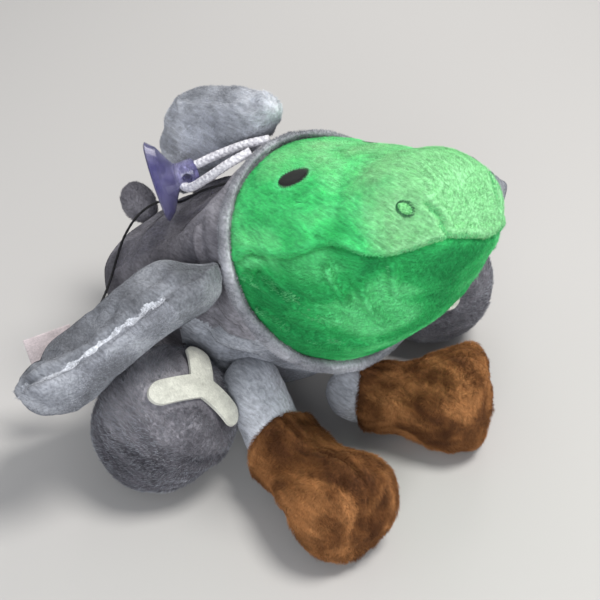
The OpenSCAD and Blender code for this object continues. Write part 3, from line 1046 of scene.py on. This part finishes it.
# Root, droop and sweep of each wing, as on the left side
WING_POSES = {"right": ((81.5, 15.0, 83.0), 12, 22), "left": ((85.0, 16.0, 83.0), 19, 35)}
WING_RIDGE = [(-22, -27, 5), (0, -30, 4.5), (20, -30.5, 3), (40, -29, 2.5), (53, -24, 4), (60, -14, 3.5)]
WING_REAR = [(-20, 28, 0), (30, 30, 0), (45, 27.5, 0), (55, 20, 0), (62, 4, 0)]
WING_TIP_FOLD = [(60, -6, 6), (54, -14, 8), (46, -19, 9)]
WING_ROOT_ENDS = -8


def wing_field(p, w, ridge, rear, tip_fold):
    field = 0.7 * ripple(p, 26, 8) + 0.3 * ripple(p, 10, 9)
    field += fold(p, ridge, 2.4, 1.5)
    field += seam(p, rear, 1.2, 1.2, 0.5)
    field += fold(p, tip_fold, 1.8, 0.7)
    for at in ((18, -16, 12), (11, -14, 12), (52, -14, 9)):
        field -= 1.1 * bell(np.linalg.norm(w - at, axis=1), 3.4)
    return field


def make_wing(word, side, root, droop, sweep):
    turn = turned("X", -34) @ turned("Z", sweep) @ turned("Y", droop)
    mirror = np.array([side, 1, 1])

    def place(points):
        """The wing's own frame (out, forward is -y, up) to the toy frame."""
        return (np.array(root) + np.asarray(points, float) @ turn.T) * mirror

    def local(points):
        return (points * mirror - root) @ turn

    def on_top(points):
        w = local(points)
        ridge = np.array(WING_RIDGE)
        return w[:, 2] > np.interp(w[:, 0], ridge[:, 0], ridge[:, 2]) + 0.8 * ripple(points, 4, 35)

    def at_root(points):
        return local(points)[:, 0] < WING_ROOT_ENDS + 2.5 * ripple(points, 6, 36)

    rings = []
    for s in fine(WING, 4):
        half = max(s[1] * WING_CHORD / 2, 1.5)
        rings.append(place(ring((s[0], 0, 0), (0, -1, 0), (0, 0, 1), half, max(s[2], 1), max(s[3], 1))))
    if side < 0:
        rings = [r[::-1] for r in rings]
    wing = loft(f"wing_{word}_plush", rings)
    edges = [place(WING_RIDGE), place(WING_REAR)]
    stuffed(wing, lambda p: nearest_line(p, edges) < 2.2, growth=0.05, cap=2.0)
    refined(wing, 2)
    surface = surface_of(wing)
    lines = [laid_on(surface, place(route)) for route in (WING_RIDGE, WING_REAR, WING_TIP_FOLD)]
    push(wing, lambda p: wing_field(p, local(p), *lines))
    ridge = laid_on(surface_of(wing), place(WING_RIDGE))

    # Painted highlight: the ridge gets the pale grey and a longer pale pile
    def on_ridge_highlight(points):
        near = distance(points, ridge) < 1.2 + 1.3 * ripple(points, 5, 33)
        return near & (local(points)[:, 0] > WING_ROOT_ENDS)

    dress(wing, "blue_grey_plush")
    dress_part(wing, "wing_plush", lambda m: on_top(m) | at_root(m))
    dress_part(wing, "light_plush", on_ridge_highlight)
    soft_piece(wing, "light_plush", None, 0.7, f"wing_{word}", f"wing_filling_{word}")
    moving = f"wing_{word}_body"
    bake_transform(wing)

    def top_pile(points):
        return on_top(points) & ~at_root(points)

    def side_pile(points):
        return ~on_top(points) & ~at_root(points)

    top_nap = (side * 0.9, -0.2, -0.4)
    side_nap = (side * 0.6, 0.3, -0.8)
    pile(wing, "wing_plush_pile", flow=top_nap, keep=at_root, body="body")
    pile(wing, "wing_plush_pile", flow=top_nap, keep=top_pile, body=moving)
    pile(wing, "blue_grey_plush_pile", 1.6, flow=side_nap, keep=side_pile, body=moving)
    pile(wing, "light_plush_pile", 1.7, 1.3, side_nap, keep=side_pile, body=moving)
    # Painted highlight: long pale pile along the ridge
    pile(wing, "light_plush_pile", 2.2, 2.5, (side * 0.3, 0, -1), lift=0.6, keep=on_ridge_highlight, body=moving)


for word, side in (("right", -1), ("left", 1)):
    make_wing(word, side, *WING_POSES[word])


# ---- Engines and propellers ----

ENGINE_AT = np.array([86.0, 8.0, 27.0])
ENGINE_R = 28
ENGINE_L = 10
ENGINE_PITCH = 52
ENGINE_TOE_IN = 25
# Fold: [distance behind the nose, height]
ENGINE_FOLDS = [(7, 1.2), (14, 1.6), (22, 1.5), (30, 1.8)]
ENGINE_TURN = turned("Z", -ENGINE_TOE_IN) @ turned("X", 90 - ENGINE_PITCH)


def engine_frame(points):
    folded = points * np.where(points[:, :1] < 0, [-1, 1, 1], [1, 1, 1])
    return (folded - ENGINE_AT) @ ENGINE_TURN


def engine_field(p):
    e = engine_frame(p)
    field = 0.8 * ripple(p, 24, 10) + 0.35 * ripple(p, 9, 11)
    # A seam round the barrel's rear end, and folds that run round the nose
    field += 0.5 * bell(np.abs(e[:, 2] + 3) - 3, 2.4) - 1.5 * bell(e[:, 2] + 3, 1.4)
    from_tip = ENGINE_R + ENGINE_L - e[:, 2] + 2.5 * ripple(p, 30, 21)
    strength = np.clip(0.6 + 0.6 * ripple(p, 22, 22), 0, 1.2)
    for at, height in ENGINE_FOLDS:
        past = from_tip - at
        field += strength * (height * bell(past, 1.8) - 0.6 * height * bell(past - 3.6, 2.0))
    return field * np.clip(p[:, 2] / 3, 0, 1) * np.clip((from_tip - 8) / 8, 0, 1)


def engine_flow(points):
    """The nap runs round the engine's own axis."""
    e = engine_frame(points)
    across = np.hypot(e[:, 0], e[:, 1])
    way = np.stack([-e[:, 1], e[:, 0], -0.25 * across], 1) @ ENGINE_TURN.T
    way = way * np.where(points[:, :1] < 0, [-1, 1, 1], [1, 1, 1])
    return way / np.maximum(np.linalg.norm(way, axis=1), 1e-6)[:, None]


def engine_held(points):
    """The rear seam, the nose's middle and what lies on the floor."""
    e = engine_frame(points)
    return (np.abs(e[:, 2] + 3) < 2) | (points[:, 2] < 1.2) | (e[:, 2] > ENGINE_R)


for side, word in ((-1, "right"), (1, "left")):
    rings = []
    for i in range(1, 32):
        a = math.pi * (i / 32 - 0.5)
        z = ENGINE_R * math.sin(a) + (ENGINE_L if a > 0 else 0)
        r = ENGINE_R * math.cos(a)
        q = ring((0, 0, z), (1, 0, 0), (0, 1, 0), r, r, r, 56)
        points = above_floor((ENGINE_AT + q @ ENGINE_TURN.T) * [side, 1, 1])
        rings.append(points if side > 0 else points[::-1])
    engine = loft(f"engine_{word}_plush", rings)
    stuffed(engine, engine_held, growth=0.05, cap=1.6)
    refined(engine, 2)
    push(engine, engine_field)
    dress(engine, "grey_plush")
    soft_piece(engine, "grey_plush", "body", 0.8, f"engine_{word}", f"engine_filling_{word}")
    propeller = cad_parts[f"propeller_{word}"]
    felt_surface = surface_of(propeller)

    def clear_of_felt(points, felt=felt_surface):
        return np.array([felt.find_nearest(Vector(q), 3.0)[0] is None for q in points])

    pile(engine, "grey_plush_pile", 1.7, flow=engine_flow, swirl=0.25, lift=0.4, keep=clear_of_felt)
    # Painted highlight: sparse paler fibres along the nap stand in for its swirl highlights
    pile(engine, "blue_grey_plush_pile", 1.9, 1.2, engine_flow, swirl=0.25, lift=0.5, keep=clear_of_felt)
    soft_edge = propeller.modifiers.new("soft_edge", "BEVEL")
    soft_edge.width = 0.45 * MM
    soft_edge.segments = 3
    soft_edge.limit_method = "ANGLE"
    dress(propeller, "cream_felt")


# ---- Legs and boots ----

LEG_R = 13.5
# How far a leg goes on into the body past its hip, as a share of the way from the hip to the boot
LEG_INSIDE = 0.9
BOOT_FULLNESS = {"right": 1.0, "left": 1.1}
# Each leg's hip, the boot's upper end and its sole's middle
LEG_PATHS = {
    "right": [(-48.5, -17, 38), (-50, -34, 24), (-52, -75, 22)],
    "left": [(-1, -23, 21), (6, -29, 19), (31, -57, 22)],
}
# Station: [share of the boot's length, half-width, height above the middle line, depth below it]
BOOT = [
    [-0.02, 11, 11, 11],
    [0.0, 15.0, 15.0, 15.0],
    [0.05, 16.0, 16.0, 16.0],
    [0.18, 16.4, 15.6, 17.4],
    [0.36, 17.6, 15.6, 20.0],
    [0.54, 20.0, 19.5, 21.8],
    [0.70, 21.6, 24.0, 22.0],
    [0.84, 20.6, 25.0, 21.0],
    [0.95, 15.0, 19.0, 16.5],
    [1.0, 5.0, 7.0, 6.0],
]


# Routes on the boots: (along the boot, to its side, up)
BOOT_SEAM = [(2, 0, 16), (12, 0, 16), (26, 0, 18), (40, 0, 24), (52, 0, 26), (62, 0, 12), (64, 0, -4)]
# Fold: (route, width, height)
BOOT_FOLDS = [
    ([(22, 14, 6), (36, 16, 2), (50, 14, -4)], 3.0, 0.9),
    ([(30, -12, 12), (38, -16, 2), (44, -17, -8)], 2.4, 0.9),
    ([(22, -12, 10), (28, -15, 0), (34, -15, -10)], 2.2, 0.7),
]


def boot_axes(path):
    """Start, unit axes and length of the boot at the end of a leg's path."""
    start, foot = np.array(path[1], float), np.array(path[2], float)
    ahead = (foot - start) / np.linalg.norm(foot - start)
    side = np.cross(ahead, UP)
    side /= np.linalg.norm(side)
    top = np.cross(side, ahead)
    return start, ahead, side, top, np.linalg.norm(foot - start) + 21


def boot_frame(points, path):
    """(along the boot, to its side, up) of toy-frame points."""
    start, ahead, side, top, length = boot_axes(path)
    q = points - start
    return np.stack([q @ ahead, q @ side, q @ top], 1)


for word, path in LEG_PATHS.items():
    start, ahead, side, top, length = boot_axes(path)
    hip = np.array(path[0], float)
    leg_line = fine([hip - LEG_INSIDE * (start - hip), hip, (hip + start) / 2, start, start + ahead * 6], 5)
    far = np.concatenate([[0], np.cumsum(np.linalg.norm(np.diff(leg_line, axis=0), axis=1))])
    dome = np.sqrt(1 - (1 - np.clip((far + 0.4) / LEG_R, 0, 1)) ** 2)
    leg = tube(f"leg_{word}_plush", leg_line, LEG_R * dome, sides=48)
    refined(leg, 1)
    push(leg, lambda p: 0.5 * ripple(p, 14, 12) + 0.3 * ripple(p, 6, 13))
    dress(leg, "light_plush")
    soft_piece(leg, "light_plush", f"leg_{word}_body", 0.6, f"leg_{word}")
    pile(leg, "light_plush_pile", flow=tuple(ahead), swirl=0.4)

    rings = []
    for s in fine(BOOT, 4):
        full = 1 + (BOOT_FULLNESS[word] - 1) * np.clip(3 * s[0] - 0.6, 0, 1)
        points = ring(start + ahead * s[0] * length, side, top, s[1] * full, s[2], s[3] * full, 56)
        rings.append(above_floor(points)[::-1])
    boot = loft(f"boot_{word}_plush", rings)

    def boot_field(p, path=path, length=length):
        q = boot_frame(p, path)
        share = q[:, 0] / length
        field = 0.9 * ripple(p, 20, 14) + 0.45 * ripple(p, 8, 15)
        # The seam along the top and round the toe, and the cuff's turned edge
        field += seam(q, BOOT_SEAM, 1.3, 1.6, 0.8)
        for route, width, height in BOOT_FOLDS:
            field += fold(q, route, width, height)
        field += 0.8 * bell(q[:, 0] - 1.5, 2.0)
        return field * np.clip(p[:, 2] / 3, 0, 1) * np.clip(share / 0.02 + 1, 0, 1)

    def boot_held(p, path=path):
        return (np.abs(boot_frame(p, path)[:, 1]) < 1.5) | (p[:, 2] < 1.2)

    stuffed(boot, boot_held, growth=0.06, cap=1.8)
    refined(boot, 2)
    push(boot, boot_field)
    dress(boot, "brown_plush")
    soft_piece(boot, "brown_plush", f"leg_{word}_body", 0.85, f"boot_{word}", f"boot_filling_{word}")
    pile(boot, "brown_plush_pile", length=1.9, flow=tuple(ahead * 0.6 - UP), swirl=0.8, lift=0.5)


# ---- Fin and tailplanes ----

FIN_T = 26
# Station: [lean to the left, y, z, fall of the ring to the rear, half-length, share of the half-thickness]
FIN = [
    [0, 73, 97, 38, 38, 0.34],
    [0, 74, 101, 36, 44, 0.72],
    [0, 72, 110, 32, 48, 1],
    [0, 70, 122.5, 27, 48, 1],
    [0, 68, 134, 22, 42.5, 0.88],
    [0, 67, 142.5, 19, 33.5, 0.58],
    [0, 66, 146.5, 17, 21.5, 0.20],
]
FIN_BOX = 0.72
FIN_REAR_SEAM = [(-12, 112, 78), (-12.5, 110, 92), (-12, 104, 112), (-11, 92, 128)]
FIN_FRONT_SEAM = [(-12, 30, 122), (-12, 28, 132), (-11, 34, 142), (-9, 46, 148)]
FIN_CROSS_SEAM = [(-12, 92, 128), (0, 96, 130), (12, 92, 128)]


def signed_power(v, power):
    return np.sign(v) * np.abs(v) ** power


def fin_ring(s, sides=72):
    """Boxy at the rear and round at the front."""
    fall = math.radians(s[3])
    a = np.linspace(0, 2 * math.pi, sides, endpoint=False)
    power = np.where(np.cos(a) > 0, FIN_BOX, 1.0)
    back = np.array([0, math.cos(fall), -math.sin(fall)])
    thick = max(s[5] * FIN_T / 2, 1)
    half = signed_power(np.cos(a), power) * s[4]
    side = signed_power(np.sin(a), power) * thick
    return np.array(s[:3]) + np.outer(half, back) + np.outer(side, (1, 0, 0))


fin = loft("fin_plush", [fin_ring(s)[::-1] for s in fine(FIN, 5)])
stuffed(fin, lambda p: (np.abs(np.abs(p[:, 0]) - 10) < 1.2), growth=0.05, cap=1.6)
refined(fin, 2)


def fin_field(p):
    folded = np.stack([-np.abs(p[:, 0]), p[:, 1], p[:, 2]], 1)
    field = 0.7 * ripple(p, 24, 16) + 0.35 * ripple(p, 9, 17)
    field += seam(folded, FIN_REAR_SEAM, 1.3, 1.3, 0.9)
    field += seam(folded, FIN_FRONT_SEAM, 1.3, 1.0, 0.7)
    field += seam(p, FIN_CROSS_SEAM, 1.3, 1.2, 0.5)
    field -= 1.4 * bell(distance(folded, [(-13, 60, 120), (-13, 80, 112)]), 16)
    # The hollow where the cord lies beside the fin's front
    field -= 2.0 * bell(distance(p, LOOP_ROUTE[:3]), 9)
    return field


push(fin, fin_field)
# Painted light: the pale grey cover and pile stand in for the light that falls on the fin
dress(fin, "light_plush")
soft_piece(fin, "grey_plush", "fin_body", 0.75, "fin", "fin_filling")
pile(fin, "light_plush_pile", flow=(0, 0.6, -0.8))

# The left tail lobe's sewn end and free end
LOBE_ROOT = np.array([19, 115.5, 65.5])
LOBE_TIP = np.array([21, 122, 74])
LOBE_HALF_W = 8.4
LOBE_HALF_T = 7.0

for side, word in ((-1, "right"), (1, "left")):
    way = (LOBE_TIP - LOBE_ROOT) / np.linalg.norm(LOBE_TIP - LOBE_ROOT)
    across = np.cross(way, [0, 0.8, 0.6])
    across /= np.linalg.norm(across)
    deep = np.cross(way, across)
    rings = []
    for t in np.linspace(0.03, 0.97, 20):
        a = math.pi * (t - 0.5)
        middle = LOBE_ROOT + way * (10.5 * math.sin(a) + 5)
        r = math.cos(a) ** 0.8
        wide, thick = LOBE_HALF_W * r, LOBE_HALF_T * r
        points = ring(middle, across, deep, wide, thick, thick, 32) * [side, 1, 1]
        rings.append(points if side > 0 else points[::-1])
    lobe = loft(f"tailplane_{word}_plush", rings)
    refined(lobe, 1)
    push(lobe, lambda p: 0.8 * ripple(p, 9, 18) + fold(p, [(-26, 118, 70), (-24, 122, 74)], 1.6, 0.8))
    dress(lobe, "grey_plush")
    soft_piece(lobe, "grey_plush", f"tailplane_{word}_body", 0.6, f"tailplane_{word}")
    pile(lobe, "grey_plush_pile", flow=(0, 0.4, 0.8))


# ---- Cup and label ----

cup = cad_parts["suction_cup"]
dress(cup, "vinyl")

LABEL_AT = np.array([-107, 58.5, 46.0])
LABEL_SIZE = (22, 26)
LABEL_TURN = turned("Z", -18) @ turned("X", 78) @ turned("Z", 8)


LABEL_COLUMNS = 34
LABEL_ROWS = 40


def label_points():
    u, v = np.meshgrid(np.linspace(-0.5, 0.5, LABEL_COLUMNS), np.linspace(-0.5, 0.5, LABEL_ROWS))
    wave = 0.8 * np.sin(2.6 * u + 1) * np.cos(3.2 * v) + 0.5 * np.sin(5 * v + u)
    flat = np.stack([u * LABEL_SIZE[0], v * LABEL_SIZE[1], wave], -1).reshape(-1, 3)
    return LABEL_AT + flat @ LABEL_TURN.T


corners = (0, 1, LABEL_COLUMNS + 1, LABEL_COLUMNS)
label_faces = [
    tuple(i * LABEL_COLUMNS + j + k for k in corners)
    for i in range(LABEL_ROWS - 1) for j in range(LABEL_COLUMNS - 1)
]
label = mesh_object("label_cloth_piece", label_points(), label_faces)
thickness = label.modifiers.new("cloth", "SOLIDIFY")
thickness.thickness = 0.5 * MM
apply_modifiers(label)
dress(label, "label_cloth")
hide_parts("label")
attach(label, "body")


# ---- Floor, light and world ----

FLOOR_HALF = 6.0


def stage():
    floor = bpy.data.meshes.new("floor")
    corners = [(x * FLOOR_HALF, y * FLOOR_HALF, 0) for x, y in ((-1, -1), (1, -1), (1, 1), (-1, 1))]
    floor.from_pydata(corners, [], [(0, 1, 2, 3)])
    obj = bpy.data.objects.new("floor", floor)
    scene.collection.objects.link(obj)
    made, nodes, links, shader = material("pale_floor")
    shader.inputs["Base Color"].default_value = (0.52, 0.51, 0.50, 1)
    shader.inputs["Roughness"].default_value = 0.9
    obj.data.materials.append(made)


def area_light(name, at, target, size, power, colour):
    data = bpy.data.lights.new(name, "AREA")
    data.shape = "DISK"
    data.size = size
    data.energy = power
    data.color = colour
    obj = bpy.data.objects.new(name, data)
    obj.location = at
    obj.rotation_euler = (Vector(target) - Vector(at)).to_track_quat("-Z", "Y").to_euler()
    scene.collection.objects.link(obj)


stage()
MIDDLE = (0, 0, 0.07)
area_light("key", (0.25, -0.40, 1.15), MIDDLE, 0.45, 12.5, (1.0, 0.98, 0.94))
area_light("fill", (-0.8, -0.85, 0.45), MIDDLE, 0.7, 8.5, (0.94, 0.97, 1.0))
area_light("rim", (0.7, 0.6, 0.6), MIDDLE, 0.6, 3, (1.0, 0.98, 0.95))
world = bpy.data.worlds.new("soft_room")
world.use_nodes = True
world.node_tree.nodes["Background"].inputs["Color"].default_value = (0.86, 0.88, 0.92, 1)
world.node_tree.nodes["Background"].inputs["Strength"].default_value = 0.42
scene.world = world
scene.view_settings.view_transform = "Standard"
